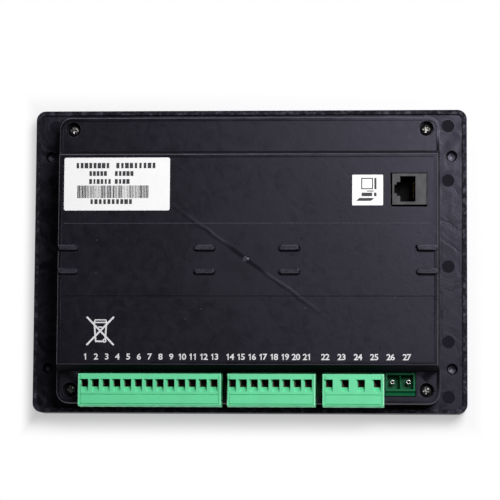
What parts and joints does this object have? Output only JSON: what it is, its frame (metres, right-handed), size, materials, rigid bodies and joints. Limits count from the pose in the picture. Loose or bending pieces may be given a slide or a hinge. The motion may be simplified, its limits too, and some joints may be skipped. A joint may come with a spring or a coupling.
{
  "type": "genset controller",
  "caption": "Panel-mounting genset controller with a flanged bezel, stepped rear cover, pluggable screw terminals, a data socket, a display and sprung keys.",
  "frame": {"origin": "centre of the bezel's front edge plane, on which the controller lies face down", "axes": "+X along the terminal row, +Y up the front face, +Z to the rear"},
  "size_m": [0.2074, 0.1454, 0.0352],
  "materials": {
    "casing_plastic": "satin moulded ABS",
    "panel_plastic": "moulded ABS",
    "fascia_film": "fine matt polyester film",
    "window": "clear acrylic",
    "display_glass": "liquid crystal panel",
    "steel": "bright plated",
    "key_red": "satin",
    "key_green": "satin",
    "key_grey": "satin",
    "switch_black": "moulded",
    "lamp": "diffused epoxy",
    "board": "solder resist",
    "plug_green": "satin polyamide",
    "header_green": "satin polyamide",
    "contact": "tinned",
    "brass": "plain",
    "socket_black": "moulded",
    "label": "satin paper",
    "relay_blue": "moulded",
    "can_sleeve": "shrink sleeve",
    "copper": "enamelled wire",
    "aluminium": "extruded",
    "cream_plastic": "moulded",
    "ceramic_blue": "epoxy dipped"
  },
  "bodies": {
    "casing": {"front_bezel": "casing_plastic", "front_panel": "panel_plastic", "fascia_film": "fascia_film", "display_lens": "window", "display_frame": "steel", "display_glass": "display_glass", "key_switches": "switch_black", "status_lamps": "lamp", "display_board": "board", "display_board_screws": "steel", "main_board": "board", "main_board_screws": "steel", "board_link": "switch_black", "rear_cover": "casing_plastic", "cover_screws": "steel", "rating_label": "label", "socket_label": "label", "header_1": "header_green", "header_2": "header_green", "header_3": "header_green", "header_spare": "header_green", "contacts_1": "contact", "contacts_2": "contact", "contacts_3": "contact", "contacts_spare": "contact", "data_jack": "socket_black", "jack_contacts": "brass", "relays": "relay_blue", "capacitors": "can_sleeve", "power_choke": "copper", "heat_sink": "aluminium", "voltage_regulator": "switch_black", "processor": "switch_black", "clock_crystal": "steel", "current_transformers": "cream_plastic", "surge_discs": "ceramic_blue"},
    "stop_key": {"key_stop": "key_red"},
    "manual_key": {"key_manual": "key_grey"},
    "auto_key": {"key_auto": "key_grey"},
    "start_key": {"key_start": "key_green"},
    "page_key": {"key_page": "key_grey"},
    "terminal_plug_1": {"plug_1": "plug_green", "clamps_1": "brass", "clamp_screws_1": "steel"},
    "terminal_plug_2": {"plug_2": "plug_green", "clamps_2": "brass", "clamp_screws_2": "steel"},
    "terminal_plug_3": {"plug_3": "plug_green", "clamps_3": "brass", "clamp_screws_3": "steel"}
  },
  "joints": [
    {"name": "stop_key_press", "type": "slide", "parent": "casing", "child": "stop_key", "axis": [0, 0, 1], "range_m": [0, 0.0007], "stiffness_N_per_m": 300, "springref_m": -0.001},
    {"name": "manual_key_press", "type": "slide", "parent": "casing", "child": "manual_key", "axis": [0, 0, 1], "range_m": [0, 0.0007], "stiffness_N_per_m": 300, "springref_m": -0.001},
    {"name": "auto_key_press", "type": "slide", "parent": "casing", "child": "auto_key", "axis": [0, 0, 1], "range_m": [0, 0.0007], "stiffness_N_per_m": 300, "springref_m": -0.001},
    {"name": "start_key_press", "type": "slide", "parent": "casing", "child": "start_key", "axis": [0, 0, 1], "range_m": [0, 0.0007], "stiffness_N_per_m": 300, "springref_m": -0.001},
    {"name": "page_key_press", "type": "slide", "parent": "casing", "child": "page_key", "axis": [0, 0, 1], "range_m": [0, 0.0007], "stiffness_N_per_m": 300, "springref_m": -0.001},
    {"name": "terminal_plug_1_pull", "type": "slide", "parent": "casing", "child": "terminal_plug_1", "axis": [0, 0, 1], "range_m": [0, 0.012]},
    {"name": "terminal_plug_2_pull", "type": "slide", "parent": "casing", "child": "terminal_plug_2", "axis": [0, 0, 1], "range_m": [0, 0.012]},
    {"name": "terminal_plug_3_pull", "type": "slide", "parent": "casing", "child": "terminal_plug_3", "axis": [0, 0, 1], "range_m": [0, 0.012]}
  ]
}
